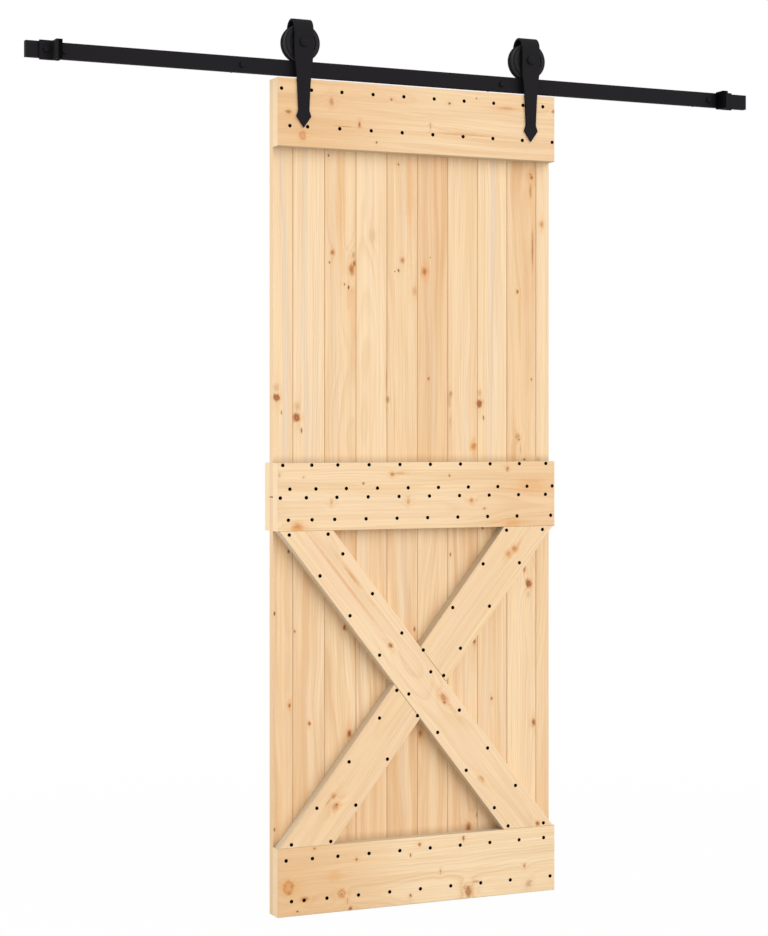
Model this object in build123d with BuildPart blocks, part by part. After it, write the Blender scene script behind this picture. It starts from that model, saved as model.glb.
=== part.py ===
from build123d import *
import os

# A plank door that slides on a flat-bar wall track, in millimetres.
# X runs along the track, Y points at the wall and Z is up.
# The origin is under the middle of the track, level with the door's foot and halfway through the depth.

os.makedirs("parts", exist_ok=True)

# Door leaf
door_height = 2060
door_width = 775
rest_shift = 12  # the leaf's middle rests this far to the right of the track's middle

# Planks: tongue and groove boards in an upper and a lower panel
plank_count = 10  # in each panel
plank_thickness = 22
left_plank = 52.8  # the outer planks are ripped to width, and the inner ones share what they leave
right_plank = 38.2
joint_gap = 0.6
joint_vee = 1.5
tongue_length = 7
tongue_thickness = 6
tongue_play = 0.25
panel_gap = 3

# Rails, splice board and braces
rail_height = 168
rail_thickness = 32
splice_thickness = 32
brace_cut = 144  # length of a brace's sawn end along the rail
brace_inset = 5
brace_gap = 0.4
edge_ease = 2

# Wood screws
screw_head_radius = 4.7
screw_head_depth = 3
screw_neck_radius = 2
screw_proud = 0.3
screw_bite = 14  # depth of the point in the last board
screw_sides = 8

# Screw rows: the height as a share of the rail, then the place on a plank as a share of its width,
# for the first, second, third, last but one and last plank
top_row_shares = (
    (0.840, 0.19, 0.43, 0.39, 0.35, 0.08),
    (0.300, 0.61, 0.31, 0.32, 0.33, 0.80),
)
middle_row_shares = (
    (0.967, 0.25, 0.44, 0.26, 0.23, 0.31),
    (0.618, 0.61, 0.57, 0.53, 0.49, 0.80),
    (0.490, 0.13, 0.27, 0.23, 0.20, 0.28),
    (0.165, 0.53, 0.45, 0.16, 0.15, 0.69),
)
bottom_row_shares = (
    (0.823, 0.42, 0.46, 0.26, 0.22, 0.14),
    (0.221, 0.69, 0.20, -0.085, -0.08, 0.64),
)

# Brace screws: heights as shares of the space between the rails, places across as shares of the sawn width
brace_end_share = 0.011
brace_across_shares = (0.13, 0.85)
full_brace_pairs = 7
full_brace_upper_share = 0.925
full_brace_lower_share = 0.143
full_brace_pair_drop_share = 0.068
half_brace_row_shares = (0.88, 0.74, 0.606)
half_brace_across_shares = (0.10, 0.83)
half_brace_last_share = 0.52
half_brace_last_across_share = 0.87

# Track
track_length = 2005
track_height = 38.4
track_thickness = 16
track_ease = 0.8
track_lift = 7.2  # air between the leaf's top and the bar
wall_gap = 6  # air between the splice board and the wall

# Wall bolts and their spacer tubes
left_bolt_room = 14.5  # from a stop's pad to the end bolt
right_bolt_room = 24
inner_bolt_shares = (0.2692, 0.6257)  # along the track
wall_bolt_radius = 4
wall_bolt_root_radius = 3.75
wall_bolt_bite = 30
wall_bolt_point = 8
wall_bolt_flats = 13
wall_bolt_head = 5.3
spacer_radius = 9
bolt_play = 0.3

# End stops
left_stop_inset = 31.5
right_stop_inset = 49.9
stop_foot = 37
stop_plate = 5
stop_bend = 3
stop_rise = 2.3  # how far the plate stands above the bar
stop_hang = 5.5  # and how far below it
stop_reach = 35
stop_pad = 10
stop_bolt_radius = 4
stop_bolt_flats = 13
stop_bolt_head = 5.3
stop_nut = 6.5
stop_bolt_tail = 2

# Wheels
wheel_radius = 46.8
tread_radius = 44.3
wheel_width = 36
groove_root = 16.6
groove_mouth = 19
rim_chamfer = 3
hub_radius = 18
web_radius = 35
web_depth = 2  # each face is turned down this far between the hub and the rim
rolling_gap = 0.3
bush_radius = 11
bush_stand = 0.5
running_gap = 0.05

# Axle bolts
axle_radius = 6
axle_head_radius = 11.5
axle_head = 5
axle_head_ease = 1.5
axle_nut_flats = 18
axle_nut = 8
axle_tail = 3
axle_play = 0.1
ring_radius = 9.5
end_play = 0.4

# Hanger straps
left_hanger_inset = 68.3  # from the leaf's side to the axle
right_hanger_inset = 72
strap_room = 44  # between the two legs
strap_plate = 5
strap_width = 50
strap_crown = 60  # from the axle up to the top of the bend
strap_shoulder_drop = 28  # drops are measured down from the axle
strap_waist_drop = 100
strap_waist_width = 35
strap_neck_drop = 168
strap_neck_width = 28.3
strap_barb_drop = 183.5
strap_barb_width = 38.5
strap_tip_drop = 210.5
strap_ease = 0.6
strap_hole_play = 0.25

# Strap bolts
upper_bolt_drop = 110.4
lower_bolt_drop = 154.4
strap_bolt_radius = 4
strap_bolt_head_radius = 8
strap_bolt_head = 4
strap_washer_radius = 12
strap_washer = 2
strap_nut_flats = 13
strap_nut = 6.5
strap_bolt_tail = 3

# Places worked out from the sizes
door_left = rest_shift - door_width / 2
door_right = rest_shift + door_width / 2
track_setback = (strap_room - track_thickness) / 2
wall_setback = rail_thickness + plank_thickness + splice_thickness + wall_gap
front_reach = max(stop_reach - track_setback, strap_plate + axle_head)
door_front = (front_reach - wall_setback - wall_bolt_bite) / 2
planks_front = door_front + rail_thickness
planks_back = planks_front + plank_thickness
splice_back = planks_back + splice_thickness
wall_face = door_front + wall_setback
track_front = door_front + track_setback
track_back = track_front + track_thickness
wheel_middle = door_front + strap_room / 2

top_rail_foot = door_height - rail_height
middle_rail_foot = (door_height - rail_height) / 2
panel_joint = door_height / 2
track_foot = door_height + track_lift
track_middle = track_foot + track_height / 2
track_top = track_foot + track_height
axle_height = track_top + rolling_gap + tread_radius
hanger_places = {"left": door_left + left_hanger_inset, "right": door_right - right_hanger_inset}
axle_places = [(x, axle_height) for x in hanger_places.values()]
strap_bolt_drops = (upper_bolt_drop, lower_bolt_drop)
strap_bolt_places = [(x, axle_height - drop) for x in hanger_places.values() for drop in strap_bolt_drops]
left_stop = left_stop_inset - track_length / 2
right_stop = track_length / 2 - right_stop_inset
stop_bolt_places = [
    (left_stop + (stop_foot - stop_plate) / 2, track_middle),
    (right_stop - (stop_foot - stop_plate) / 2, track_middle),
]
wall_bolt_places = [
    (left_stop + stop_foot + stop_pad + left_bolt_room, track_middle),
    *[((share - 0.5) * track_length, track_middle) for share in inner_bolt_shares],
    (right_stop - stop_foot - stop_pad - right_bolt_room, track_middle),
]

plank_face = (door_width - left_plank - right_plank) / (plank_count - 2)
inner_joints = [door_left + left_plank + i * plank_face for i in range(plank_count - 1)]
plank_edges = [door_left, *inner_joints, door_right]


def upright(y):
    """The upright plane at depth y, with X to the right and Z up, that faces the room."""
    return Plane.XZ.offset(-y)


def across(x, y, z):
    """The upright plane through a point, with Y to the right and Z up, that faces along X."""
    return Plane(origin=(x, y, z), x_dir=(0, 1, 0), z_dir=(1, 0, 0))


def write(piece, name):
    """Label a finished piece and write its file."""
    piece.part.label = name
    export_step(piece.part, f"parts/{name}.step")


# Planks
def plank_outline(index):
    """The plan of one plank: a groove on the left, a tongue on the right, and a vee beside each joint."""
    grooved = index > 0
    tongued = index < plank_count - 1
    left = plank_edges[index] + (joint_gap / 2 if grooved else 0)
    right = plank_edges[index + 1] - (joint_gap / 2 if tongued else 0)
    middle = (planks_front + planks_back) / 2
    tongue = tongue_thickness / 2
    groove = tongue + tongue_play
    points = [(left, planks_back)]
    if grooved:
        points += [(left, middle + groove), (left + tongue_length, middle + groove)]
        points += [(left + tongue_length, middle - groove), (left, middle - groove)]
        points += [(left, planks_front + joint_vee), (left + joint_vee, planks_front)]
    else:
        points += [(left, planks_front)]
    if tongued:
        points += [(right - joint_vee, planks_front), (right, planks_front + joint_vee)]
        points += [(right, middle - tongue), (right + tongue_length, middle - tongue)]
        points += [(right + tongue_length, middle + tongue), (right, middle + tongue)]
    else:
        points += [(right, planks_front)]
    return points + [(right, planks_back)]


for index in range(plank_count):
    with BuildPart() as plank_upper:
        with BuildSketch(Plane.XY.offset(panel_joint + panel_gap / 2)):
            with BuildLine():
                Polyline(*plank_outline(index), close=True)
            make_face()
        extrude(amount=door_height - panel_joint - panel_gap / 2)
        with BuildSketch(upright(planks_back)):
            with Locations(*strap_bolt_places):
                Circle(strap_bolt_radius + bolt_play)
        extrude(amount=plank_thickness, mode=Mode.SUBTRACT)
    write(plank_upper, f"plank_upper_{index + 1:02d}")

    with BuildPart() as plank_lower:
        with BuildSketch(Plane.XY):
            with BuildLine():
                Polyline(*plank_outline(index), close=True)
            make_face()
        extrude(amount=panel_joint - panel_gap / 2)
    write(plank_lower, f"plank_lower_{index + 1:02d}")


# Rails and the splice board
def rail_face(foot):
    """A board's front face across the whole leaf."""
    with Locations((rest_shift, foot + rail_height / 2)):
        Rectangle(door_width, rail_height)


with BuildPart() as top_rail:
    with BuildSketch(upright(planks_front)):
        rail_face(top_rail_foot)
    extrude(amount=rail_thickness)
    fillet(top_rail.faces().sort_by(Axis.Y)[0].edges(), radius=edge_ease)
    with BuildSketch(upright(planks_front)):
        with Locations(*strap_bolt_places):
            Circle(strap_bolt_radius + bolt_play)
    extrude(amount=rail_thickness, mode=Mode.SUBTRACT)
write(top_rail, "top_rail")

with BuildPart() as middle_rail:
    with BuildSketch(upright(planks_front)):
        rail_face(middle_rail_foot)
    extrude(amount=rail_thickness)
    fillet(middle_rail.faces().sort_by(Axis.Y)[0].edges(), radius=edge_ease)
write(middle_rail, "middle_rail")

with BuildPart() as bottom_rail:
    with BuildSketch(upright(planks_front)):
        rail_face(0)
    extrude(amount=rail_thickness)
    fillet(bottom_rail.faces().sort_by(Axis.Y)[0].edges(), radius=edge_ease)
write(bottom_rail, "bottom_rail")

with BuildPart() as splice_board:
    with BuildSketch(upright(splice_back)):
        rail_face(middle_rail_foot)
    extrude(amount=splice_thickness)
    fillet(splice_board.faces().sort_by(Axis.Y)[-1].edges(), radius=edge_ease)
write(splice_board, "splice_board")

# Braces: one runs down to the right in one length, and two halves butt against its sides
brace_rise = middle_rail_foot - rail_height
brace_lean = (door_width - brace_inset * 2 - brace_cut) / brace_rise
brace_middle = (middle_rail_foot + rail_height) / 2


def falling(z):
    """The left edge of the whole brace at a height."""
    return door_left + brace_inset + (middle_rail_foot - z) * brace_lean


def rising(z):
    """The left edge of the half braces' line at a height."""
    return door_left + brace_inset + (z - rail_height) * brace_lean


def brace_points(edge, foot, foot_right, top, top_right):
    """A brace's four corners, from the heights of its left and of its right edge."""
    left = [(edge(foot), foot), (edge(top), top)]
    right = [(edge(top_right) + brace_cut, top_right), (edge(foot_right) + brace_cut, foot_right)]
    return left + right


butt_near = brace_gap / brace_lean / 2
butt_far = (brace_gap + brace_cut) / brace_lean / 2
brace_pieces = {
    "brace_full": brace_points(falling, rail_height, rail_height, middle_rail_foot, middle_rail_foot),
    "brace_half_upper": brace_points(
        rising, brace_middle + butt_far, brace_middle + butt_near, middle_rail_foot, middle_rail_foot
    ),
    "brace_half_lower": brace_points(
        rising, rail_height, rail_height, brace_middle - butt_near, brace_middle - butt_far
    ),
}
for name, points in brace_pieces.items():
    with BuildPart() as brace:
        with BuildSketch(upright(planks_front)):
            with BuildLine():
                Polyline(*points, close=True)
            make_face()
        extrude(amount=rail_thickness)
        fillet(brace.faces().sort_by(Axis.Y)[0].edges(), radius=edge_ease)
    write(brace, name)


# Wood screws, faceted, with a flat head, a countersunk neck and a point
def wood_screw(length):
    """One screw with its head's face at the origin, pointing at the wall."""
    with BuildPart() as screw:
        with BuildSketch(Plane.XZ) as head:
            RegularPolygon(screw_head_radius, screw_sides)
        with BuildSketch(upright(screw_head_depth)) as neck:
            RegularPolygon(screw_neck_radius, screw_sides)
        loft([head.sketch.face(), neck.sketch.face(), Vertex(0, length, 0)], ruled=True)
    return screw.part


def row_places(row_shares, foot):
    """The screw places of a rail: in each row, one screw for each plank."""
    places = []
    for height, first, second, third, last_but_one, last in row_shares:
        steps = plank_count - 4
        inner = [third + (last_but_one - third) * i / steps for i in range(steps + 1)]
        for index, share in enumerate([first, second] + inner + [last]):
            width = plank_edges[index + 1] - plank_edges[index]
            places.append((plank_edges[index] + share * width, foot + height * rail_height))
    return places


def brace_place(edge, height_share, across_share):
    """A screw place on a brace, from its share of the height and of the sawn width."""
    z = rail_height + height_share * brace_rise
    return (edge(z) + across_share * brace_cut, z)


def brace_screw_places():
    """Pairs along the whole brace, then the rows of each half brace, point symmetric about the crossing."""
    near, far = brace_across_shares
    step = (full_brace_upper_share - full_brace_lower_share) / (full_brace_pairs - 1)
    ends = (brace_end_share, 1 - brace_end_share)
    places = [brace_place(falling, end, side) for end in ends for side in brace_across_shares]
    for i in range(full_brace_pairs):
        far_share = full_brace_upper_share - i * step
        places.append(brace_place(falling, far_share, far))
        places.append(brace_place(falling, far_share - full_brace_pair_drop_share, near))
    for row in half_brace_row_shares + (1 - brace_end_share,):
        for side in half_brace_across_shares:
            places.append(brace_place(rising, row, side))
            places.append(brace_place(rising, 1 - row, 1 - side))
    places.append(brace_place(rising, half_brace_last_share, half_brace_last_across_share))
    places.append(brace_place(rising, 1 - half_brace_last_share, 1 - half_brace_last_across_share))
    return places


panel_screw_length = screw_proud + rail_thickness + screw_bite
splice_screw_length = screw_proud + rail_thickness + plank_thickness + screw_bite
screw_groups = {
    "top_rail_screws": (panel_screw_length, row_places(top_row_shares, top_rail_foot)),
    "middle_rail_screws": (splice_screw_length, row_places(middle_row_shares, middle_rail_foot)),
    "bottom_rail_screws": (panel_screw_length, row_places(bottom_row_shares, 0)),
    "brace_screws": (panel_screw_length, brace_screw_places()),
}
for name, (length, places) in screw_groups.items():
    one_screw = wood_screw(length)
    with BuildPart() as screws:
        with Locations(*[(x, door_front - screw_proud, z) for x, z in places]):
            add(one_screw)
    write(screws, name)

# Track bar
with BuildPart() as track:
    with BuildSketch(upright(track_back)):
        with Locations((0, track_middle)):
            Rectangle(track_length, track_height)
        with Locations(*wall_bolt_places):
            Circle(wall_bolt_radius + bolt_play, mode=Mode.SUBTRACT)
        with Locations(*stop_bolt_places):
            Circle(stop_bolt_radius + bolt_play, mode=Mode.SUBTRACT)
    extrude(amount=track_thickness)
    fillet(track.edges().filter_by(Axis.X), radius=track_ease)
write(track, "track")

with BuildPart() as wall_spacers:
    with BuildSketch(upright(wall_face)):
        with Locations(*wall_bolt_places):
            Circle(spacer_radius)
            Circle(wall_bolt_radius + bolt_play, mode=Mode.SUBTRACT)
    extrude(amount=wall_face - track_back)
write(wall_spacers, "wall_spacers")

# Wall bolts: a hex head on the bar, a plain shank to the wall, and a free threaded end with a point
with BuildPart() as wall_bolts:
    with BuildSketch(upright(track_front)):
        with Locations(*wall_bolt_places):
            RegularPolygon(wall_bolt_flats / 2, 6, major_radius=False)
    extrude(amount=wall_bolt_head)
    with BuildSketch(upright(wall_face)):
        with Locations(*wall_bolt_places):
            Circle(wall_bolt_radius)
    extrude(amount=wall_face - track_front)
    with BuildSketch(upright(wall_face)):
        with Locations(*wall_bolt_places):
            Circle(wall_bolt_root_radius)
    extrude(amount=wall_bolt_point - wall_bolt_bite)
    with Locations(*[(x, wall_face + wall_bolt_bite - wall_bolt_point, z) for x, z in wall_bolt_places]):
        Cone(
            wall_bolt_root_radius,
            0,
            wall_bolt_point,
            rotation=(-90, 0, 0),
            align=(Align.CENTER, Align.CENTER, Align.MIN),
        )
write(wall_bolts, "wall_bolts")

# End stops: a bent plate bolted to the bar's front, with a rubber pad on the arm's inner face
stop_height = track_height + stop_rise + stop_hang
stop_middle = track_middle + (stop_rise - stop_hang) / 2
for side, outward, outer in (("left", -1, left_stop), ("right", 1, right_stop)):
    inner = outer - outward * stop_foot
    arm_back = inner + outward * stop_plate
    with BuildPart() as stop_bracket:
        with BuildSketch(Plane.XY.offset(track_foot - stop_hang)):
            with BuildLine():
                Polyline(
                    (outer, track_front),
                    (inner, track_front),
                    (inner, track_front - stop_reach),
                    (arm_back, track_front - stop_reach),
                    (arm_back, track_front - stop_plate),
                    (outer, track_front - stop_plate),
                    close=True,
                )
            make_face()
        extrude(amount=stop_height)
        outside = (inner, track_front, track_middle)
        outside_edges = stop_bracket.edges().filter_by(Axis.Z).sort_by_distance(outside)
        fillet(outside_edges[0], radius=stop_bend + stop_plate)
        inside = (arm_back, track_front - stop_plate, track_middle)
        inside_edges = stop_bracket.edges().filter_by(Axis.Z).sort_by_distance(inside)
        fillet(inside_edges[0], radius=stop_bend)
        with BuildSketch(upright(track_front)):
            with Locations(*stop_bolt_places):
                Circle(stop_bolt_radius + bolt_play)
        extrude(amount=stop_plate, mode=Mode.SUBTRACT)
    write(stop_bracket, f"stop_bracket_{side}")

    with BuildPart() as stop_pad_piece:
        with BuildSketch(upright(track_front)):
            with Locations((inner - outward * stop_pad / 2, stop_middle)):
                Rectangle(stop_pad, stop_height)
        extrude(amount=stop_reach)
    write(stop_pad_piece, f"stop_pad_{side}")

with BuildPart() as stop_bolts:
    with BuildSketch(upright(track_front - stop_plate)):
        with Locations(*stop_bolt_places):
            RegularPolygon(stop_bolt_flats / 2, 6, major_radius=False)
    extrude(amount=stop_bolt_head)
    with BuildSketch(upright(track_front - stop_plate)):
        with Locations(*stop_bolt_places):
            Circle(stop_bolt_radius)
    extrude(amount=-(stop_plate + track_thickness + stop_nut + stop_bolt_tail))
write(stop_bolts, "stop_bolts")

with BuildPart() as stop_nuts:
    with BuildSketch(upright(track_back)):
        with Locations(*stop_bolt_places):
            RegularPolygon(stop_bolt_flats / 2, 6, major_radius=False)
            Circle(stop_bolt_radius, mode=Mode.SUBTRACT)
    extrude(amount=-stop_nut)
write(stop_nuts, "stop_nuts")

# Hanger straps: a pointed front leg, a half-round bend over the wheel and a short back leg
bend_radius = strap_room / 2 + strap_plate
bend_height = axle_height + strap_crown - bend_radius
strap_levels = (
    (axle_height - bend_height, strap_width),
    (strap_shoulder_drop, strap_width),
    (strap_waist_drop, strap_waist_width),
    (strap_neck_drop, strap_neck_width),
    (strap_barb_drop, strap_barb_width),
)
for side, x in hanger_places.items():
    right_edge = [(x + width / 2, axle_height - drop) for drop, width in strap_levels]
    left_edge = [(x - width / 2, axle_height - drop) for drop, width in reversed(strap_levels)]
    with BuildPart() as hanger_strap:
        with BuildSketch(upright(door_front)):
            with BuildLine():
                Polyline(*right_edge, (x, axle_height - strap_tip_drop), *left_edge, close=True)
            make_face()
        extrude(amount=strap_plate)
        with BuildSketch(across(x - strap_width / 2, wheel_middle, bend_height)):
            with BuildLine():
                CenterArc((0, 0), bend_radius, 0, 180)
                Line((-bend_radius, 0), (-strap_room / 2, 0))
                CenterArc((0, 0), strap_room / 2, 0, 180)
                Line((strap_room / 2, 0), (bend_radius, 0))
            make_face()
        extrude(amount=strap_width)
        with BuildSketch(upright(door_front + strap_room + strap_plate)):
            with Locations((x, (bend_height + axle_height) / 2)):
                Rectangle(strap_width, bend_height - axle_height)
            with Locations((x, axle_height)):
                Circle(strap_width / 2)
        extrude(amount=strap_plate)
        front_face = hanger_strap.faces().sort_by(Axis.Y)[0]
        bend_face = hanger_strap.faces().filter_by(GeomType.CYLINDER).sort_by(Axis.Z)[-1]
        back_face = hanger_strap.faces().sort_by(Axis.Y)[-1]
        outer_edges = front_face.edges() + bend_face.edges() + back_face.edges()
        chamfer(outer_edges.filter_by(Axis.X, reverse=True), length=strap_ease)
        with BuildSketch(upright(door_front + strap_room + strap_plate)):
            with Locations((x, axle_height)):
                Circle(axle_radius + strap_hole_play)
        extrude(amount=strap_room + strap_plate * 2, mode=Mode.SUBTRACT)
        bolt_seats = [(x, door_front - strap_plate, axle_height - drop) for drop in strap_bolt_drops]
        with Locations(*[Plane(origin=seat, z_dir=(0, -1, 0)) for seat in bolt_seats]):
            CounterSinkHole(
                strap_bolt_radius + strap_hole_play,
                strap_bolt_head_radius + strap_hole_play,
                depth=strap_plate,
                counter_sink_angle=90,
            )
    write(hanger_strap, f"hanger_strap_{side}")

# Strap bolts with flush heads, and the washers and nuts behind the planks
strap_bolt_end = planks_back + strap_washer + strap_nut + strap_bolt_tail
with BuildPart() as strap_bolts:
    for x, z in strap_bolt_places:
        with BuildSketch(across(x, door_front - strap_plate, z)):
            with BuildLine():
                Polyline(
                    (0, 0),
                    (strap_bolt_end - door_front + strap_plate, 0),
                    (strap_bolt_end - door_front + strap_plate, strap_bolt_radius),
                    (strap_bolt_head, strap_bolt_radius),
                    (0, strap_bolt_head_radius),
                    close=True,
                )
            make_face()
        revolve(axis=Axis((x, door_front, z), (0, 1, 0)))
write(strap_bolts, "strap_bolts")

with BuildPart() as strap_washers:
    with BuildSketch(upright(planks_back)):
        with Locations(*strap_bolt_places):
            Circle(strap_washer_radius)
            Circle(strap_bolt_radius + bolt_play, mode=Mode.SUBTRACT)
    extrude(amount=-strap_washer)
write(strap_washers, "strap_washers")

with BuildPart() as strap_nuts:
    with BuildSketch(upright(planks_back + strap_washer)):
        with Locations(*strap_bolt_places):
            RegularPolygon(strap_nut_flats / 2, 6, major_radius=False)
            Circle(strap_bolt_radius, mode=Mode.SUBTRACT)
    extrude(amount=-strap_nut)
write(strap_nuts, "strap_nuts")

# Axle bolts, nuts and the rings that keep each wheel in the middle of its strap
with BuildPart() as axle_bolts:
    with BuildSketch(upright(door_front - strap_plate)):
        with Locations(*axle_places):
            Circle(axle_head_radius)
    extrude(amount=axle_head)
    fillet(axle_bolts.faces().sort_by(Axis.Y)[:2].edges(), radius=axle_head_ease)
    with BuildSketch(upright(door_front - strap_plate)):
        with Locations(*axle_places):
            Circle(axle_radius)
    extrude(amount=-(strap_room + strap_plate * 2 + axle_nut + axle_tail))
write(axle_bolts, "axle_bolts")

with BuildPart() as axle_nuts:
    with BuildSketch(upright(door_front + strap_room + strap_plate)):
        with Locations(*axle_places):
            RegularPolygon(axle_nut_flats / 2, 6, major_radius=False)
            Circle(axle_radius, mode=Mode.SUBTRACT)
    extrude(amount=-axle_nut)
write(axle_nuts, "axle_nuts")

bush_length = wheel_width + bush_stand * 2
ring_length = (strap_room - bush_length) / 2 - end_play
with BuildPart() as axle_rings:
    for ring_back in (door_front + ring_length, door_front + strap_room):
        with BuildSketch(upright(ring_back)):
            with Locations(*axle_places):
                Circle(ring_radius)
                Circle(axle_radius + axle_play, mode=Mode.SUBTRACT)
        extrude(amount=ring_length)
write(axle_rings, "axle_rings")

# Wheels: a groove that straddles the bar, and a bearing bush pressed into the hub
half_width = wheel_width / 2
wheel_side = [
    (half_width, bush_radius),
    (half_width, hub_radius),
    (half_width - web_depth, hub_radius + web_depth),
    (half_width - web_depth, web_radius - web_depth),
    (half_width, web_radius),
    (half_width, wheel_radius - rim_chamfer),
    (half_width - rim_chamfer, wheel_radius),
    (groove_mouth / 2, wheel_radius),
    (groove_root / 2, tread_radius),
]
wheel_profile = wheel_side + [(-y, radius) for y, radius in reversed(wheel_side)]
for side, x in hanger_places.items():
    hub = across(x, wheel_middle, axle_height)
    with BuildPart() as wheel:
        with BuildSketch(hub):
            with BuildLine():
                Polyline(*wheel_profile, close=True)
            make_face()
        revolve(axis=Axis((x, wheel_middle, axle_height), (0, 1, 0)))
    write(wheel, f"wheel_{side}")

    with BuildPart() as wheel_bush:
        with BuildSketch(upright(wheel_middle + bush_length / 2)):
            with Locations((x, axle_height)):
                Circle(bush_radius)
                Circle(axle_radius + running_gap, mode=Mode.SUBTRACT)
        extrude(amount=bush_length)
    write(wheel_bush, f"wheel_bush_{side}")
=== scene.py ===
# %% [markdown]
# # A plank door that slides on a wall track
# The CAD model gives every board, strap and bolt its place. This lesson dresses that frame: it places the
# camera of the photograph, sets up a plain studio, grows pine inside the boards and gives the black
# fittings their finish. Everything is in metres, in the CAD frame: X along the track, Y towards the wall,
# Z up.

# %% Load the frame
import math

import bmesh
import bpy
import numpy as np
from mathutils import Matrix, Vector


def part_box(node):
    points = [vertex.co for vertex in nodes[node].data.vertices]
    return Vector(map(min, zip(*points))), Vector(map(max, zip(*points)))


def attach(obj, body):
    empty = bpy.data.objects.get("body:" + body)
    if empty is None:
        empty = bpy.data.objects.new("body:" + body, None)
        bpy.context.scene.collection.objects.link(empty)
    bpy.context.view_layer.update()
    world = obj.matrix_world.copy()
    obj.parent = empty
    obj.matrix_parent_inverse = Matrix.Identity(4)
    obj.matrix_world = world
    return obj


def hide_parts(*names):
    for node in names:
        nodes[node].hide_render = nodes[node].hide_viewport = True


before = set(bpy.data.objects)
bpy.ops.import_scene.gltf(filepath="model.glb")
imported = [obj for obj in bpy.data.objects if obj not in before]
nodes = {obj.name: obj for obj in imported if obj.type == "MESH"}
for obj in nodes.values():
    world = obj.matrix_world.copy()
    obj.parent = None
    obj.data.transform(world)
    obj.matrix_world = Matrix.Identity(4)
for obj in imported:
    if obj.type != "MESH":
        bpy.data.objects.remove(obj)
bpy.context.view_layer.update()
scene = bpy.context.scene
mm = 0.001

# %% [markdown]
# ## The camera
# The photograph was taken from the left, a little above half the door's height, with a level camera. A
# level camera keeps upright edges upright, so the picture is framed with a small lens shift instead of a
# tilt. The place and the turn come from the corners of the door and of the track in the picture.

# %% Camera
picture_width, picture_height = 768, 936
camera_reach = 4.89  # in front of the rails
camera_place = Vector((-2.343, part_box("top_rail")[0].y - camera_reach, 1.197))
camera_turn = math.radians(-24.76)
focal_pixels = 2150.2
horizon_row = 428.76
half_pixel = 0.5
sensor = 36

camera_data = bpy.data.cameras.new("camera")
camera_data.sensor_fit = "VERTICAL"
camera_data.sensor_height = sensor
camera_data.lens = focal_pixels / picture_height * sensor
camera_data.shift_x = -half_pixel / picture_height
camera_data.shift_y = (horizon_row + half_pixel - picture_height / 2) / picture_height
camera = bpy.data.objects.new("camera", camera_data)
camera.location = camera_place
camera.rotation_euler = (math.pi / 2, 0, camera_turn)
scene.collection.objects.link(camera)
scene.camera = camera
print("lens", round(camera_data.lens, 1), "mm, shift", round(camera_data.shift_y, 4))


def seen_at(column, row, depth):
    """The place where the camera's ray through a pixel meets the upright plane at Y = depth."""
    ray = Vector(((column - picture_width / 2) / focal_pixels, 1, (horizon_row - row) / focal_pixels))
    ray.rotate(Matrix.Rotation(camera_turn, 3, "Z"))
    return camera_place + ray * ((depth - camera_place.y) / ray.y)


# %% [markdown]
# ## Shader maths
# A node tree can be wired by hand, but wood needs long sums. Here a small class holds one output socket,
# and the ordinary operators on it add Math nodes, so a formula in the script looks like the formula on
# paper. Every other node comes from one method: its type, its settings, then what goes into its sockets.


# %% A socket that can be calculated with
class Wire:
    """One output of a node. Arithmetic on it adds Math nodes to the same tree."""

    def __init__(self, tree, socket):
        self.tree = tree
        self.socket = socket

    def node(self, kind, settings=None, sockets=None, out=0):
        """Add a node: set its settings, then give each socket a value or a wire, and return one output."""
        made = self.tree.nodes.new(kind)
        for name, value in (settings or {}).items():
            if name == "stops":
                for place, shade in value[2:]:
                    made.color_ramp.elements.new(place)
                for element, (place, shade) in zip(made.color_ramp.elements, value):
                    element.position = place
                    element.color = (shade, shade, shade, 1)
            else:
                setattr(made, name, value)
        for name, value in (sockets or {}).items():
            if isinstance(value, Wire):
                self.tree.links.new(value.socket, made.inputs[name])
            else:
                made.inputs[name].default_value = value
        return Wire(self.tree, made.outputs[out]) if made.outputs else None

    def math(self, operation, *values):
        return self.node("ShaderNodeMath", {"operation": operation}, dict(enumerate(values)))

    def __add__(self, other):
        return self.math("ADD", self, other)

    def __sub__(self, other):
        return self.math("SUBTRACT", self, other)

    def __mul__(self, other):
        return self.math("MULTIPLY", self, other)

    def __truediv__(self, other):
        return self.math("DIVIDE", self, other)

    def __rtruediv__(self, other):
        return self.math("DIVIDE", other, self)

    __radd__ = __add__
    __rmul__ = __mul__

    def most(self, other):
        return self.math("MAXIMUM", self, other)

    def vector(self, operation, *values, out=0):
        sockets = dict(enumerate((self, *values)))
        return self.node("ShaderNodeVectorMath", {"operation": operation}, sockets, out)

    def ease(self, low, high, at_low=0, at_high=1):
        """A soft step from at_low to at_high while this value goes from low to high."""
        values = {"Value": self, "From Min": low, "From Max": high, "To Min": at_low, "To Max": at_high}
        return self.node("ShaderNodeMapRange", {"interpolation_type": "SMOOTHSTEP"}, values)

    def noise(self, stretch, seed, detail=2, out="Fac"):
        """Soft noise on this vector, multiplied along each axis and moved to its own place by a seed."""
        spread = self.vector("MULTIPLY_ADD", stretch, (seed * 3.7, seed * 5.3, seed * 1.9))
        return spread.node("ShaderNodeTexNoise", {}, {"Vector": spread, "Scale": 1, "Detail": detail}, out)

    def part(self, axis):
        """One of this vector's three numbers."""
        return self.node("ShaderNodeSeparateXYZ", {}, {"Vector": self}, axis)

    def mix(self, first, second):
        """From the first colour to the second while this value goes from 0 to 1."""
        return self.node("ShaderNodeMix", {"data_type": "RGBA"}, {0: self, 6: first, 7: second}, 2)

    def blend(self, other, amount):
        """This colour mixed with another one."""
        return amount.mix(self, other)


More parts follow.
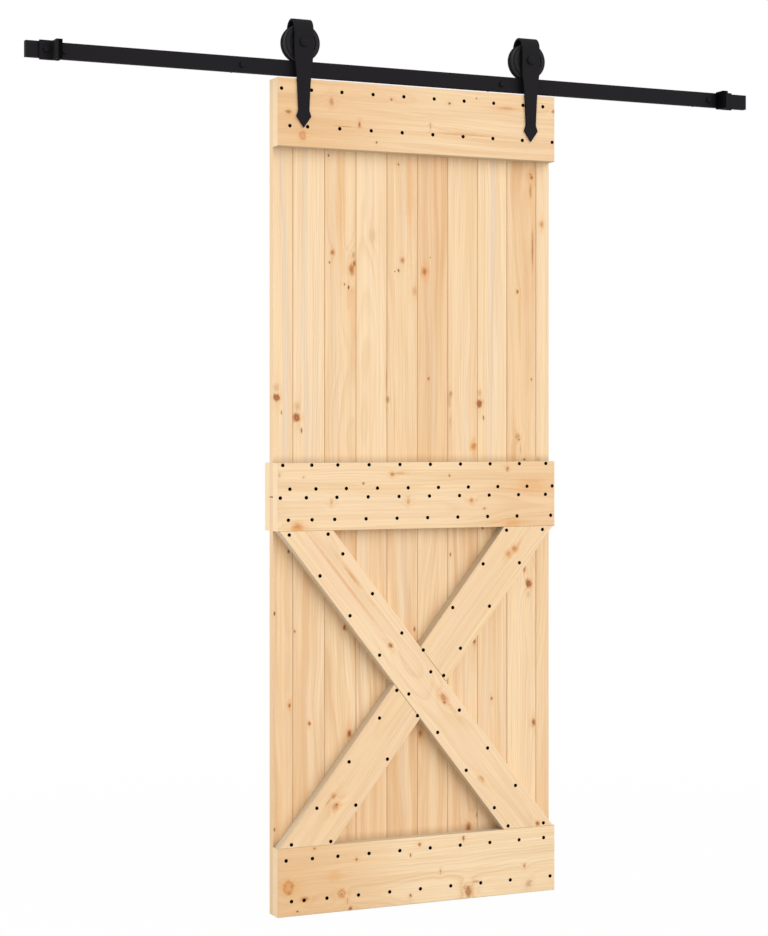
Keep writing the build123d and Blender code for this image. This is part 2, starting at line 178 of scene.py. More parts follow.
def new_finish(name):
    """An empty material, as the wire of its object coordinates and the wire of its object normal."""
    finish = bpy.data.materials.new(name)
    finish.use_nodes = True
    finish.node_tree.nodes.clear()
    start = Wire(finish.node_tree, None)
    place = start.node("ShaderNodeTexCoord", out="Object")
    normal = Wire(place.tree, place.socket.node.outputs["Normal"])
    return finish, place, normal


def finish_with(place, colour, roughness, height, relief, **fixed):
    """Close a material: a Principled shader with a bump whose relief is in metres."""
    bump = place.node("ShaderNodeBump", {}, {"Height": height, "Distance": relief, "Strength": 1})
    sockets = {"Base Color": colour, "Roughness": roughness, "Normal": bump}
    sockets |= {name.replace("_", " "): value for name, value in fixed.items()}
    shader = place.node("ShaderNodeBsdfPrincipled", {}, sockets)
    shader.node("ShaderNodeOutputMaterial", {}, {"Surface": shader})


def tone(red, green, blue):
    """A colour as it is read off a screen, from 0 to 255, made linear."""
    shares = np.array((red, green, blue)) / 255
    linear = np.where(shares <= 0.04045, shares / 12.92, ((shares + 0.055) / 1.055) ** 2.4)
    return (*linear.tolist(), 1)


def paint(name, finish):
    """Put a material into a CAD node's slots."""
    for slot in nodes[name].material_slots:
        slot.material = finish


# %% [markdown]
# ## Pine
# A sawn board is a slice of a tree, so the pattern is grown in three dimensions: the distance from the
# pith, a line that runs along the board somewhere behind its face, gives the year rings, and slicing that
# gives stripes on the face, arches where the pith leans, and arcs on the end grain. A knot is the foot of
# a branch. Adding a hill to the distance around it bends the rings into an eye, as the tree does.
# Painting stripes flat on each face would be quicker, but they wouldn't meet at the edges.

# %% Pine finish
sapwood = tone(255, 228, 187)
heartwood = tone(236, 191, 140)
streak_tan = tone(226, 176, 122)
blush_pink = tone(248, 212, 176)
cool_grey = tone(232, 213, 192)
cream = tone(253, 221, 168)
late_wood = tone(221, 178, 126)
# sawn edges and joint walls: their own greyer tone, plus painted shade for these faces in the hollows
sawn_tone_and_shade = tone(205, 192, 168)
joint_tone_and_shade = tone(240, 208, 168)
knot_halo = tone(232, 164, 90)
knot_heart = tone(200, 122, 54)
knot_rim = tone(152, 76, 30)
knot_dark = tone(104, 64, 30)
large_radius = 9  # millimetres; from here on a knot has a flat heart
deep_core = 0.4  # above this a knot's core is well marked
faint_glow = 0.35  # under this a deep core is nearly black
grain_relief = 0.18 * mm


def pine(name, middle, turn, seed, warm, grain, pith, lean, knots, blush, edge, ledge=None, cool_line=None):
    """Pine for one board, in millimetres about its middle, with the grain along its own Z. The grain gives
    the strength of the broad bands, the year rings, the fine lines, the cool streaks and the creamy ones."""
    band_strength, ring_strength, line_strength, cool_strength, cream_strength = grain
    finish, place, normal = new_finish(name)
    own = {"Location": middle, "Rotation": (0, turn, 0), "Scale": (mm, mm, mm), "Vector": place}
    local = place.node("ShaderNodeMapping", {"vector_type": "TEXTURE"}, own)
    along = local.part("Z")

    # knots: d is 1 at the ragged edge; each lifts the rings, darkens its core and reddens what is around it
    ragged = (local.noise((0.2, 0.2, 0.08), seed + 17, 2) - 0.5) * 1.2
    lift, core, eye, small, bark, halo = (along * 0 for i in range(6))
    for across, up, radius, stretch, depth, glow in knots:
        size = (1 / radius, 0, 1 / (radius * stretch))
        offset = (-across / radius, 0, -up / (radius * stretch))
        toward = local.vector("MULTIPLY_ADD", size, offset)
        d = toward.vector("LENGTH", out="Value")
        hill = min(radius, large_radius) * 1.6 * min(depth + 0.3, 1)
        lift = lift + hill / (1 + d * d * 0.35)
        d = d + ragged
        tail = toward.vector("MULTIPLY", (0.8, 0, 0.3)).vector("LENGTH", out="Value") + ragged
        dark = depth > deep_core and glow < faint_glow
        large = radius >= large_radius
        flat = 0.4 if large and depth > deep_core else 0.1
        spot = d.ease(flat, 1.3, min(depth * (1.7 if dark else 1.4), 1), 0)
        core = core.most(spot) if depth else core
        eye = eye if dark else eye.most(d.ease(0, 0.75, depth if large else depth / 2, 0))
        small = small.most(spot) if dark else small
        ringed = large and 0 < depth < 0.3 and glow > 0.25
        bark = bark.most(d.ease(0.45, 0.9) * d.ease(0.9, 1.4, 0.55, 0)) if ringed else bark
        if glow:
            halo = halo.most(d.ease(0.6, 2.4, glow, 0)).most(tail.ease(0.2, 1.5, glow * 0.6, 0))

    # the distance from the pith, which wanders and leans along the board
    sway = local.noise((0.009, 0.009, 0.0022), seed, 1, "Color")
    bent = sway.vector("SUBTRACT", (0.5, 0.5, 0.5)).vector("MULTIPLY_ADD", (46, 26, 0), local)
    heart_line = {"Location": (*pith, 0), "Rotation": (lean, lean / 2, 0), "Vector": bent}
    from_pith = bent.node("ShaderNodeMapping", {"vector_type": "TEXTURE"}, heart_line)
    distance = from_pith.vector("MULTIPLY", (1, 1, 0)).vector("LENGTH", out="Value") + lift

    # broad bands and fine rings both follow that distance
    spread = along.node("ShaderNodeCombineXYZ", {}, {"X": distance, "Z": along})
    bands = spread.noise((0.085, 0, 0.0016), seed + 2, 4).ease(0.38, 0.66)
    years = distance / 5 + spread.noise((0.05, 0, 0.004), seed + 5, 1) * 3
    stops = [(0, 0), (0.45, 0.12), (0.86, 1), (1, 0)]
    late = years.node("ShaderNodeValToRGB", {"stops": stops}, {0: years.math("FRACT", years)})
    strong_years = spread.noise((0.12, 0, 0.001), seed + 7, 1).ease(0.3, 0.75, 0.15, 1)
    fibres = local.noise((0.9, 0.9, 0.014), seed + 9, 3)
    patches = local.noise((0.016, 0.016, 0.0035), seed + 11, 2).ease(0.42, 0.68)
    cool = local.noise((0.05, 0.05, 0.001), seed + 19, 2).ease(0.52, 0.72)
    if cool_line is not None:
        aside = bent.part("X") - cool_line
        cool = cool.most(aside.math("ABSOLUTE", aside).ease(3, 12, 1.6, 0))
    creamy = local.noise((0.03, 0.03, 0.0012), seed + 21, 1).ease(0.48, 0.66)
    flecks = local.noise((1.3, 1.3, 0.09), seed + 13, 1).ease(0.7, 0.8)
    lines = local.noise((0.3, 0.3, 0.0022), seed + 15, 2).ease(0.4, 0.7)

    heart = distance.ease(24, 60, 1, 0)
    warmth = heart * 0.3 + along.ease(*warm)
    colour = warmth.mix(sapwood, heartwood)
    colour = colour.blend(streak_tan, bands * band_strength)
    colour = colour.blend(cream, creamy * cream_strength)
    colour = colour.blend(blush_pink, (patches * 0.6 + 0.4) * blush)
    colour = colour.blend(cool_grey, cool * cool_strength)
    colour = colour.blend(late_wood, late * (strong_years * ring_strength + halo * 0.4))
    colour = colour.blend(late_wood, lines * line_strength)
    colour = colour.blend(late_wood, flecks * 0.25)
    colour = colour.blend(knot_halo, halo * (bands * 0.4 + 0.6))
    knot = eye.mix(knot_rim, knot_heart)
    knot = knot.blend(knot_dark, small.most(ragged.ease(0, 0.25, 0, 0.6)))
    colour = colour.blend(knot, core)
    colour = colour.blend(knot_heart, bark)
    shade = (fibres - 0.5) * 0.16 + 1

    # painted shade: the front is darkened a little in the corner above a rail, where the rail's shadow falls
    if ledge is not None:
        front = normal.part("Y").ease(-0.8, -0.5, 1, 0)
        shade = shade - along.ease(ledge - 4, ledge + 24, 0.3, 0) * front
    colour = colour.node("ShaderNodeVectorMath", {"operation": "SCALE"}, {0: colour, "Scale": shade})

    # planed ends are pale; sawn edges and joint walls are greyer: their own tone plus painted shade
    turned = {"Location": (0, 0, 0), "Rotation": (0, turn, 0), "Vector": normal}
    facing = normal.node("ShaderNodeMapping", {"vector_type": "TEXTURE"}, turned)
    sides = facing.vector("ABSOLUTE")
    side_x = sides.part("X")
    side_z = sides.part("Z")
    colour = colour.blend(sapwood, side_z.ease(0.85, 0.95, 0, 0.75))
    colour = colour.blend(edge, side_x.ease(0.65, 0.8, 0, 0.8))

    roughness = 0.62 + (fibres - 0.5) * 0.3 - core * 0.12
    height = fibres * 0.6 + late * 0.4 + core * 0.6
    finish_with(place, colour, roughness, height, grain_relief, Specular_IOR_Level=0.3)
    return finish


# %% [markdown]
# ## Knots
# The knots are the face of this door, so they sit where the photograph has them. Each row gives the
# picture's column and row, the knot's radius in millimetres, how far it is drawn out along the grain, how
# dark its core is and how strongly it colours the wood around it. A row with no core is only a warm
# streak. The ray through the pixel is followed to the board's face, and the board whose box holds that
# place gets the knot. A deep core with little colour around it is a dead, nearly black knot, a large one
# has a flat heart, and a large faint one shows as a ring.

# %% Where the knots are
plank_knots = (
    (328, 155, 2.5, 1.8, 0.7, 0.1), (332, 252, 6, 1.2, 0.6, 0.5), (329, 262, 2.5, 1.5, 0.7, 0.2),
    (354, 263, 5, 1.8, 0.75, 0.6), (351, 269, 7, 2.0, 0.55, 1.0), (353, 255, 5, 1.8, 0.35, 0.4),
    (344, 284, 2, 2.0, 0.9, 0.1), (348, 287, 3.5, 1.8, 0.6, 0.3), (350, 296, 7, 4.0, 0, 0.6),
    (372, 235, 8, 2.5, 0.12, 0.35), (398, 164, 3, 1.2, 0.8, 0.4), (402, 260, 6, 1.5, 0.5, 0.5),
    (398, 270, 3.5, 1.4, 0.8, 0.3), (394, 271, 2.2, 1.0, 0.9, 0), (414, 291, 6, 2.0, 0.2, 0.3),
    (424, 271, 6.5, 1.6, 0.55, 1.0), (430, 257, 1.5, 1.2, 0.8, 0.1), (531, 177, 5, 1.3, 1.0, 0.5),
    (530, 174, 3, 1.4, 0.9, 0.2), (530, 191, 4, 5.0, 0.35, 0.4), (532, 249, 3, 16.0, 0.5, 0.5),
    (517, 291, 5, 1.4, 0.9, 0.4), (541, 224, 6, 1.4, 0.32, 0.6), (276, 397, 9, 1.2, 0.9, 0.4),
    (276, 387, 9, 1.2, 0.2, 0.1), (281, 412, 3, 2.2, 0.5, 0.1), (296, 417, 10, 1.15, 0.85, 0.4),
    (297, 406, 9, 1.3, 0.2, 0.1), (301, 430, 3, 2.5, 0.5, 0.1), (386, 380, 2, 18.0, 0.3, 0.5),
    (387, 399, 4.5, 2.2, 0.45, 0.5), (394, 410, 2, 30.0, 0.12, 0.3), (428, 378, 3, 1.3, 0.8, 0.5),
    (450, 393, 5, 1.8, 0.45, 0.5), (449, 400, 6, 4.0, 0.22, 0.2), (450, 421, 3, 8.0, 0.2, 0.3),
    (473, 446, 7, 1.2, 0.3, 0.9), (474, 444, 3, 1.2, 0.8, 0.4), (479, 403, 9, 1.2, 0.9, 0.4),
    (479, 392, 7, 1.4, 0.22, 0.1), (483, 417, 3, 2.4, 0.5, 0.1), (531, 379, 2.5, 1.2, 0.9, 0.5),
    (517, 436, 8, 0.9, 0.3, 0.2), (518, 439, 4, 0.8, 0.5, 0.2), (524, 459, 4, 1.2, 1.0, 0.3),
    (520, 449, 2, 9.0, 0.35, 0.1), (538, 459, 6, 1.2, 0.2, 0.2), (340, 195, 9, 10.0, 0, 0.55),
    (353, 310, 7, 8.0, 0, 0.5), (409, 190, 8, 9.0, 0, 0.5), (274, 613, 2.5, 2.5, 0.6, 0.3),
    (294, 631, 3, 1.4, 0.8, 0.4), (344, 627, 5, 1.8, 0.65, 0.5), (414, 629, 4, 2.0, 0.5, 0.3),
    (288, 551, 3, 2.0, 0.6, 0.3), (528, 583, 10, 1.25, 0.9, 0.4), (528, 594, 8, 1.3, 0.15, 0.1),
    (524, 569, 4, 2.5, 0.5, 0.4), (450, 554, 3, 2.0, 0.5, 0.3), (466, 575, 3, 2.0, 0.4, 0.3),
    (474, 641, 5, 1.6, 0.8, 0.5), (491, 698, 3.5, 1.4, 0.8, 0.7), (289, 705, 3.5, 1.4, 0.8, 0.7),
    (309, 723, 3.5, 1.4, 0.8, 0.7), (349, 733, 6.5, 1.5, 0.75, 0.8), (420, 733, 6, 1.6, 0.55, 0.7),
    (274, 829, 3, 2.0, 0.7, 0.4), (533, 722, 6, 1.6, 0.7, 0.5), (468, 827, 8.5, 1.6, 0.7, 0.6),
    (470, 832, 5, 1.2, 0.7, 0.3), (477, 814, 4.5, 2.2, 0.55, 0.3), (482, 527, 4, 1.6, 0.8, 0.3),
)
rail_knots = (
    (288, 111, 6, 1.4, 0.6, 0.5), (331, 101, 13, 0.5, 0.38, 0.35), (359, 124, 8.5, 0.45, 0.7, 0.5),
    (344, 126, 2, 14.0, 0.3, 0.2), (302, 135, 9, 0.9, 0.2, 0.6), (376, 142, 4, 0.7, 0.6, 0.3),
    (391, 99, 4, 0.9, 0.5, 0.3), (449, 103, 4, 1.2, 0.6, 0.3), (476, 98, 3, 1.2, 0.6, 0.2),
    (430, 126, 9, 0.3, 0.35, 0.3), (462, 134, 3, 26.0, 0.2, 0.5), (507, 108, 4, 6.0, 0.2, 0.4),
    (553, 111, 5, 1.2, 0.5, 0.4), (279, 475, 6, 0.6, 0.3, 0.3), (303, 477, 3, 1.2, 0.4, 0.2),
    (392, 474, 6, 1.0, 0.45, 0.6), (400, 473, 3, 6.0, 0.2, 0.4), (363, 483, 4, 0.9, 0.5, 0.3),
    (331, 502, 8, 0.6, 0.22, 0.4), (408, 501, 8.5, 0.7, 0.28, 0.5), (449, 475, 4, 0.9, 0.5, 0.2),
    (507, 468, 8, 0.6, 0.5, 0.5), (471, 500, 6, 1.0, 0.35, 0.6), (484, 508, 3, 1.2, 0.5, 0.2),
    (297, 526, 8.5, 1.6, 0.25, 0.9), (512, 522, 8, 2.2, 0, 0.7), (530, 485, 12, 2.5, 0, 0.5),
    (288, 887, 15, 0.8, 0.12, 0.6), (291, 886, 7, 0.6, 0.35, 0.3), (289, 893, 4, 1.0, 0.35, 0.2),
    (350, 908, 5, 1.2, 0.8, 0.5), (341, 893, 9, 1.0, 0.12, 0.4), (341, 894, 3, 1.0, 0.5, 0.3),
    (347, 900, 8, 0.3, 0.25, 0.3), (304, 899, 6, 1.6, 0.5, 0.6), (356, 859, 4, 1.0, 0.6, 0.5),
    (410, 895, 4, 0.8, 0.7, 0.3), (410, 855, 6, 0.4, 0.5, 0.3), (314, 848, 4, 0.9, 0.5, 0.4),
    (334, 876, 8, 1.6, 0, 0.5), (419, 844, 5, 0.9, 0.7, 0.5), (463, 838, 7, 0.5, 0.8, 0.4),
    (468, 891, 15, 0.6, 0.5, 0.5), (464, 887, 8, 0.7, 0.2, 0.2), (475, 881, 3, 5.0, 0.3, 0.1),
    (528, 883, 12, 0.8, 0.3, 0.2), (530, 881, 4, 2.0, 0.3, 0.1), (524, 865, 6, 0.7, 0.4, 0.4),
    (440, 871, 6, 0.5, 0.4, 0.4), (297, 911, 3, 1.2, 0.6, 0.3),
)
brace_knots = (
    (342, 579, 3, 45.0, 0.1, 0.4), (352, 576, 4, 8.0, 0.2, 0.5), (390, 645, 5.5, 1.5, 0.7, 0.6),
    (443, 697, 8, 1.8, 0.38, 0.7), (444, 702, 4.5, 1.4, 0.75, 0.5), (450, 706, 4, 8.0, 0.1, 0.4),
    (481, 778, 6, 2.0, 0.25, 0.4), (537, 823, 5, 1.4, 0.7, 0.5), (514, 548, 7, 1.2, 0.4, 0.9),
    (508, 553, 7, 1.2, 0.3, 0.8), (333, 796, 6, 1.3, 0.45, 0.5), (336, 804, 3.5, 1.2, 0.8, 0.4),
    (335, 806, 8, 1.3, 0.25, 0.7), (329, 800, 3, 5.0, 0.2, 0.3),
)
splice_knots = ((300, 480, 6, 0.8, 0.6, 0.5), (420, 505, 5, 0.8, 0.7, 0.5), (500, 475, 8, 0.7, 0.5, 0.6))


def knots_on(name, table, turn):
    """The rows of a knot table that land on a board's face, in the board's own axes and millimetres."""
    low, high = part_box(name)
    middle = (low + high) / 2
    found = []
    for column, row, *shape in table:
        place = seen_at(column, row, low.y)
        if low.x < place.x < high.x and low.z < place.z < high.z:
            own = (place - middle) / mm
            own.rotate(Matrix.Rotation(-turn, 3, "Y"))
            found.append((own.x, own.z, *shape))
    return found


# %% [markdown]
# ## The boards
# Every board is cut from another part of the tree, so each has its own seed, warmth and pith. The warmth
# of the planks is read off the photograph: pale and tan ones alternate, and the lower panel is streakier
# than the upper. A gradient could fake all of that on one shared material, but then neighbours would show
# the same streaks.

# %% Planks
upper_warmth = (0.17, 0.03, 0.24, 0.05, 0.28, 0.7, 0.24, 0.04, 0.5, 0.08)
lower_warmth = (0.44, 0.28, 0.24, 0.26, 0.3, 0.22, 0.3, 0.33, -0.15, 0.48)
upper_bands = (0.25, 0.2, 0.35, 0.25, 0.45, 0.95, 0.35, 0.2, 1.0, 0.25)
lower_bands = (0.8, 0.7, 0.95, 0.7, 0.95, 0.6, 0.9, 0.5, 0.25, 0.5)
panels = (
    ("plank_upper", "middle_rail", upper_warmth, upper_bands),
    ("plank_lower", "bottom_rail", lower_warmth, lower_bands),
)
cool_lines = {"plank_upper_01": -2, "plank_upper_02": -14, "plank_upper_08": -9}  # from the plank's middle
wavy = ("plank_upper_03", "plank_upper_09", "plank_lower_03", "plank_lower_07")
for panel, rail, warmths, bands in panels:
    for number, (warm, band) in enumerate(zip(warmths, bands), 1):
        name = f"{panel}_{number:02d}"
        middle = sum(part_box(name), Vector()) / 2
        seed = number + (20 if panel == "plank_lower" else 0)
        across = 35 if name in wavy else 130
        pith = (across * math.sin(seed * 2.4), 55 + 25 * math.cos(seed * 1.7))
        knots = knots_on(name, plank_knots, 0)
        change = (0, 1, warm, warm) if panel == "plank_upper" else (-350, 100, warm + 0.2, warm - 0.08)
        grain = (band, 0.4, 0.27, 0.35, 0.28)
        lean = 0.02 * math.sin(seed)
        # the top of the rail below the plank, where the painted shade above the rail begins
        ledge = (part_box(rail)[1].z - middle.z) / mm
        wood = (middle, 0, seed, change, grain, pith, lean, knots, 0.3, joint_tone_and_shade)
        paint(name, pine(f"pine_{name}", *wood, ledge, cool_lines.get(name)))
print("planks", len(upper_warmth) + len(lower_warmth))

# %% Rails, splice board and braces
low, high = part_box("brace_full")
brace_cut = 144 * mm  # a brace's sawn end along the rail
brace_turn = math.atan2(high.x - low.x - brace_cut, high.z - low.z)
boards = (
    ("top_rail", math.pi / 2, 41, (-300, 60, 1.0, 0.22), 0.55, 0.3, rail_knots),
    ("middle_rail", math.pi / 2, 43, (20, 320, 0.15, 0.62), 0.5, 0.3, rail_knots),
    ("bottom_rail", math.pi / 2, 45, (-380, 200, 0.85, -0.5), 0.3, 0.1, rail_knots),
    ("splice_board", math.pi / 2, 47, (-300, 300, 0.2, 0.5), 0.3, 0.3, splice_knots),
    ("brace_full", -brace_turn, 51, (-400, 200, 0.15, 0.0), 0.15, 0.7, brace_knots),
    ("brace_half_upper", brace_turn, 53, (-300, 300, 0.25, 0.25), 0.3, 0.4, brace_knots),
    ("brace_half_lower", brace_turn, 55, (-300, 300, 0.3, 0.3), 0.3, 0.4, brace_knots),
)
for name, turn, seed, warm, band, blush, table in boards:
    middle = sum(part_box(name), Vector()) / 2
    pith = (60 * math.sin(seed * 2.4), 55 + 25 * math.cos(seed))
    knots = knots_on(name, table, turn)
    grain = (band, 0.4, 0.26, 0.1, 0.3)
    lean = 0.02 * math.sin(seed)
    paint(name, pine(f"pine_{name}", middle, turn, seed, warm, grain, pith, lean, knots, blush, sawn_tone_and_shade))
    print(name, "knots", len(knots))

# %% [markdown]
# ## Black fittings
# The bar, the straps and the stops are steel with a satin powder coat: nearly black, a little warm, with
# the faint skin of orange peel that powder leaves when it melts. One plain black would look like a hole
# in the picture, so the sheen wanders slightly.


# %% Powder coat, wheel, rubber, bronze and screw black
def black_coat(name, shade, worn, gloss, sheen, grain, relief):
    """A dark coat: two sizes of noise, a fine one in the relief and a broad one in the sheen."""
    finish, place, normal = new_finish(name)
    fine = place.noise((grain, grain, grain), 1, 2)
    broad = place.noise((14, 14, 14), 4, 3)
    colour = broad.mix(shade, worn)
    finish_with(place, colour, sheen + (broad - 0.5) * 0.2, fine, relief, Specular_IOR_Level=gloss)
    return finish


powder_coat = black_coat("powder_coat", tone(27, 25, 28), tone(33, 31, 34), 0.07, 0.7, 900, 0.06 * mm)
wheel_black = black_coat("wheel_black", tone(18, 18, 19), tone(26, 26, 27), 0.12, 0.5, 500, 0.04 * mm)
pad_rubber = black_coat("pad_rubber", tone(4, 4, 4), tone(9, 9, 9), 0.04, 0.85, 1400, 0.08 * mm)
screw_black = black_coat("screw_black", tone(2, 2, 2), tone(6, 5, 5), 0.02, 0.7, 2000, 0.02 * mm)

bush_bronze, place, normal = new_finish("bush_bronze")
pores = place.noise((1500, 1500, 1500), 2, 2).ease(0.55, 0.7)
colour = pores.mix(tone(176, 128, 78), tone(84, 56, 34))
finish_with(place, colour, 0.35 + pores * 0.3, pores, 0.03 * mm, Metallic=1)

coats = {
    powder_coat: (
        "track", "wall_spacers", "stop_bracket_left", "stop_bracket_right", "hanger_strap_left",
        "hanger_strap_right", "wall_bolts", "stop_bolts", "stop_nuts", "strap_bolts", "strap_washers",
        "strap_nuts", "axle_bolts", "axle_nuts", "axle_rings",
    ),
    wheel_black: ("wheel_left", "wheel_right"),
    pad_rubber: ("stop_pad_left", "stop_pad_right"),
    screw_black: ("top_rail_screws", "middle_rail_screws", "bottom_rail_screws", "brace_screws"),
    bush_bronze: ("wheel_bush_left", "wheel_bush_right"),
}
for finish, names in coats.items():
    for name in names:
        paint(name, finish)

# %% [markdown]
# ## Screws, bolts and nuts
# Small fasteners are turned pieces: a profile spun about an axis. One surface does for all of them. Its
# two parameters are the step along the profile and the angle. A hexagon or a cross is cut by taking the
# smaller of the profile's radius and that figure's, so a chamfer's curved edges come by themselves, and a
# thread is a ridge that moves round once for each pitch. The places are read from the CAD nodes, so the
# fasteners follow the model.


# %% A spun surface
def far_ends(name, apart):
    """The middles of a node's pieces, seen along Y, from the points at its far end."""
    points = np.empty(len(nodes[name].data.vertices) * 3)
    nodes[name].data.vertices.foreach_get("co", points)
    points = points.reshape(-1, 3)
    ends = points[points[:, 1] > points[:, 1].max() - 1e-5][:, [0, 2]]
    first = (np.linalg.norm(ends[:, None] - ends[None], axis=2) < apart).argmax(axis=1)
    groups = [ends[first == i] for i in np.unique(first)]
    return np.array([(group.min(axis=0) + group.max(axis=0)) / 2 for group in groups])


def spun(name, places, rows, body, finish, sides=24, ring=False, turns=0):
    """Spin a profile about Y at each place. A row is the depth Y, the radius r, and perhaps a figure with its
    size s. At angle a a hexagon limits r to s / 2 / cos(a from the nearest flat), a cross limits it to s over
    the smaller of |cos a| and |sin a|, and a thread takes off s times the triangle wave of
    Y / s - a / 2 pi."""
    rows = [(*row, "round", 1)[:4] if len(row) < 4 else row for row in rows]
    depth, radius, size = (np.array([row[i] for row in rows], float)[:, None] for i in (0, 1, 3))
    figure = np.array([row[2] for row in rows])[:, None]
    angle = np.arange(sides) / sides * 2 * np.pi
    hexagon = size / 2 / np.cos((angle + np.pi / 6) % (np.pi / 3) - np.pi / 6)
    cross = size / np.maximum(np.minimum(np.abs(np.cos(angle)), np.abs(np.sin(angle))), 1e-3)
    wave = size * np.abs((depth / size - angle / (2 * np.pi)) % 1 - 0.5)
    reach = np.where(figure == "hexagon", np.minimum(radius, hexagon), radius)
    reach = np.where(figure == "cross", np.minimum(radius, cross), reach)
    reach = np.where(figure == "thread", radius - wave, reach)
    bearing = angle + np.broadcast_to(turns, len(places))[:, None, None]
    x = places[:, 0, None, None] + reach * np.cos(bearing)
    z = places[:, 1, None, None] + reach * np.sin(bearing)
    points = np.stack([x, np.broadcast_to(depth, x.shape), z], axis=-1).reshape(-1, 3)
    here = np.arange(x.size).reshape(x.shape)
    after = np.roll(here, -1, axis=1)
    if not ring:
        here, after = here[:, :-1], after[:, :-1]
    quads = np.stack([here, after, np.roll(after, -1, axis=2), np.roll(here, -1, axis=2)], axis=-1)

    mesh = bpy.data.meshes.new(f"{name}_dressed")
    mesh.from_pydata(points.tolist(), [], quads.reshape(-1, 4).tolist())
    shell = bmesh.new()
    shell.from_mesh(mesh)
    bmesh.ops.remove_doubles(shell, verts=shell.verts, dist=1e-6)
    bmesh.ops.dissolve_degenerate(shell, edges=shell.edges, dist=1e-6)
    bmesh.ops.recalc_face_normals(shell, faces=shell.faces)
    for face in shell.faces:
        face.smooth = True
    for edge in shell.edges:
        edge.smooth = edge.calc_face_angle(math.pi) < math.radians(25)
    shell.to_mesh(mesh)
    shell.free()
    mesh.materials.append(finish)
    piece = bpy.data.objects.new(f"{name}_dressed", mesh)
    scene.collection.objects.link(piece)
    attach(piece, body)
    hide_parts(name)
    print(name, len(places), "pieces", len(mesh.polygons), "faces")


# %% Wood screws with a cross recess
screw_radius = 4.7 * mm
screw_gap = 5 * mm  # points nearer than this belong to one screw
spin = np.random.default_rng(7)
for name in ("top_rail_screws", "middle_rail_screws", "bottom_rail_screws", "brace_screws"):
    places = far_ends(name, screw_gap)
    face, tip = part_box(name)[0].y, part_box(name)[1].y
    rows = [
        (face + 0.2 * mm, 0),
        (face + 0.2 * mm, 1.7 * mm, "cross", 0.4 * mm),
        (face, 2.8 * mm, "cross", 0.6 * mm),
        (face, screw_radius - 0.3 * mm),
        (face + 0.25 * mm, screw_radius),
        (face + 3 * mm, 2 * mm),
        (tip, 0),
    ]
    turns = spin.uniform(0, math.pi / 2, len(places))
    spun(name, places, rows, "door", screw_black, 16, turns=turns)


# %% Bolts and nuts
bolt_gap = 30 * mm  # points nearer than this belong to one bolt or nut
bolt_radius, bolt_flats, bolt_pitch = 4 * mm, 13 * mm, 1.25 * mm
axle_radius, axle_flats, axle_pitch = 6 * mm, 18 * mm, 1.75 * mm
wood_pitch = 2.5 * mm
bolt_point = 8 * mm
stop_plate = 5 * mm


def threaded(start, end, radius, pitch):
    """Rows of a thread, four for each pitch, and its flat end with a small bevel."""
    turns = [(depth, radius, "thread", pitch) for depth in np.arange(start, end - pitch / 2, pitch / 4)]
    return [*turns, (end - pitch / 2, radius - pitch / 2), (end, radius - pitch / 2), (end, 0)]


def hexed(front, back, flats):
    """Rows of a hexagon whose front corners are turned off."""
    corners = (flats * 0.6, "hexagon", flats)
    return [(front, flats * 0.475), (front + flats * 0.07, *corners), (back, *corners)]


def nut(name, flats, bore, body):
    """A hexagon ring with both corners turned off, in the depth of its CAD node."""
    front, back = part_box(name)[0].y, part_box(name)[1].y
    corner = (back - flats * 0.07, flats * 0.6, "hexagon", flats)
    rows = [(front, bore), *hexed(front, back, flats)[:2], corner, (back, flats * 0.475), (back, bore)]
    spun(name, far_ends(name, bolt_gap), rows, body, powder_coat, 48, ring=True)


track_front, track_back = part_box("track")[0].y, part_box("track")[1].y
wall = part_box("wall_spacers")[1].y
planks_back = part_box("plank_upper_01")[1].y
straps_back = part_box("hanger_strap_left")[1].y

front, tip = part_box("wall_bolts")[0].y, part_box("wall_bolts")[1].y
rows = [(front, 0), *hexed(front, track_front, bolt_flats), (track_front, bolt_radius), (wall, bolt_radius)]
rows += [*threaded(wall, tip - bolt_point, bolt_radius, wood_pitch)[:-2], (tip, 0)]
spun("wall_bolts", far_ends("wall_bolts", bolt_gap), rows, "track", powder_coat)

front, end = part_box("stop_bolts")[0].y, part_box("stop_bolts")[1].y
plate = track_front - stop_plate
rows = [(front, 0), *hexed(front, plate, bolt_flats), (plate, bolt_radius)]
rows += threaded(track_back, end, bolt_radius, bolt_pitch)
spun("stop_bolts", far_ends("stop_bolts", bolt_gap), rows, "track", powder_coat)

front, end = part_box("strap_bolts")[0].y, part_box("strap_bolts")[1].y
rows = [(front, 0), (front, bolt_radius * 2), (front + bolt_radius, bolt_radius)]
rows += threaded(planks_back, end, bolt_radius, bolt_pitch)
spun("strap_bolts", far_ends("strap_bolts", bolt_gap), rows, "door", powder_coat)

front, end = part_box("axle_bolts")[0].y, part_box("axle_bolts")[1].y
rows = [(front, 0), (front, 10 * mm), (front + 0.44 * mm, 11.06 * mm), (front + 1.5 * mm, 11.5 * mm)]
rows += [(front + 5 * mm, 11.5 * mm), (front + 5 * mm, axle_radius)]
rows += threaded(straps_back, end, axle_radius, axle_pitch)
spun("axle_bolts", far_ends("axle_bolts", bolt_gap), rows, "door", powder_coat, 36)

nut("stop_nuts", bolt_flats, bolt_radius, "track")
nut("strap_nuts", bolt_flats, bolt_radius, "door")
nut("axle_nuts", axle_flats, axle_radius, "door")

# %% [markdown]
# ## The studio
# The door hangs a finger's width above a pale floor in a white room. A broad even light from the right, a
# little above, gives the soft shade on the left of the braces and under the rails. A lamp on the left
# stands behind the door's face, so it lights the sawn left sides and leaves the hollows alone. The camera
# sees the room as plain white, while the floor keeps a faint shadow.

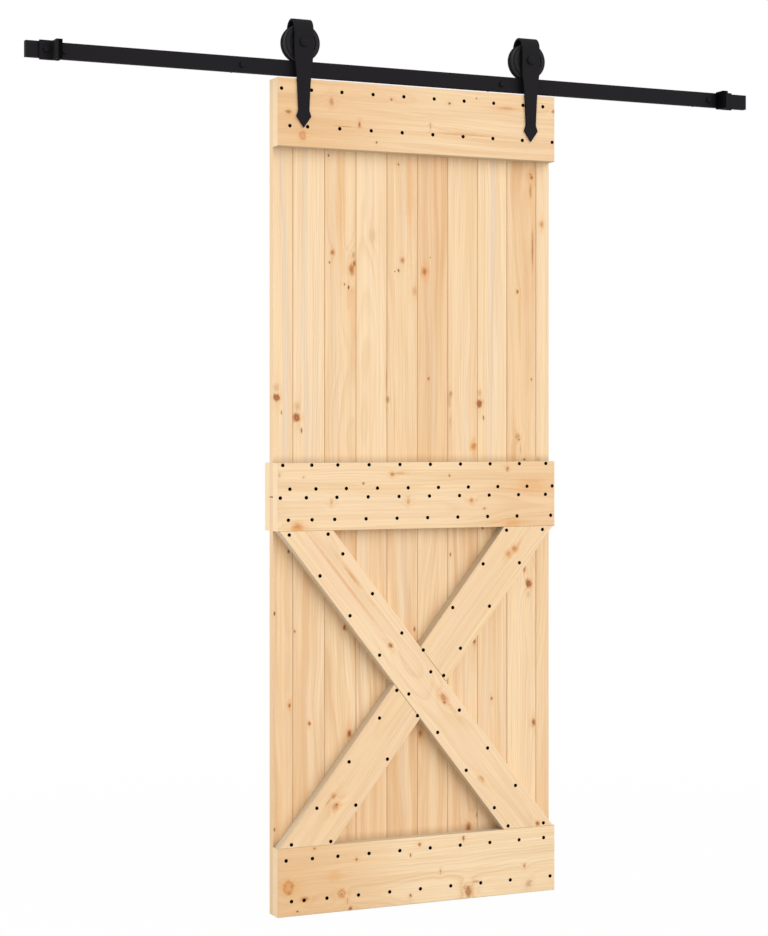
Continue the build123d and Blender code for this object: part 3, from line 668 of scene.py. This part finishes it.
# %% Floor, lamps and room
floor_reach = 3.5
floor_gap = 12 * mm
floor_mesh = bpy.data.meshes.new("floor")
corners = np.array([(-1, -1), (1, -1), (1, 1), (-1, 1)]) * floor_reach
floor_mesh.from_pydata(np.column_stack([corners, np.full(4, -floor_gap)]).tolist(), [], [(0, 1, 2, 3)])
floor = bpy.data.objects.new("floor", floor_mesh)
scene.collection.objects.link(floor)

floor_pale, place, normal = new_finish("floor_pale")
camera_sees = place.node("ShaderNodeLightPath", out="Is Camera Ray")
diffuse = place.node("ShaderNodeBsdfDiffuse", {}, {"Color": tone(196, 196, 196)})
white = place.node("ShaderNodeEmission", {}, {"Color": (1, 1, 1, 1), "Strength": 1})
pale = place.node("ShaderNodeMixShader", {}, {0: camera_sees * 0.985, 1: diffuse, 2: white})
clear = place.node("ShaderNodeBsdfTransparent")
rim = place.vector("LENGTH", out="Value").ease(floor_reach * 0.5, floor_reach * 0.95)
faded = place.node("ShaderNodeMixShader", {}, {0: rim, 1: pale, 2: clear})
faded.node("ShaderNodeOutputMaterial", {}, {"Surface": faded})
floor_mesh.materials.append(floor_pale)


def lamp(name, kind, place, power, **settings):
    """A light that looks at the middle of the door."""
    data = bpy.data.lights.new(name, kind)
    data.energy = power
    for setting, value in settings.items():
        setattr(data, setting, value)
    made = bpy.data.objects.new(name, data)
    made.location = place
    made.rotation_euler = (door_middle - Vector(place)).to_track_quat("-Z", "Y").to_euler()
    scene.collection.objects.link(made)


door_middle = Vector((0, 0, 1.05))
lamp("light_right", "SUN", (2.9, -4.4, 3.2), 1.65, angle=math.radians(60))
lamp("lamp_left", "AREA", (-4.5, 0.7, 1.6), 70, size=1.6)

room = bpy.data.worlds.new("room")
room.use_nodes = True
room.node_tree.nodes.clear()
start = Wire(room.node_tree, None)
camera_sees = start.node("ShaderNodeLightPath", out="Is Camera Ray")
rays = camera_sees.socket.node.outputs
mirrored = Wire(room.node_tree, rays["Is Glossy Ray"]).most(Wire(room.node_tree, rays["Is Transmission Ray"]))
fill_light = 0.62
level = fill_light + camera_sees.most(mirrored) * (1 - fill_light)
background = start.node("ShaderNodeBackground", {}, {"Color": (1, 1, 1, 1), "Strength": level})
background.node("ShaderNodeOutputWorld", {}, {"Surface": background})
scene.world = room
scene.view_settings.view_transform = "Standard"
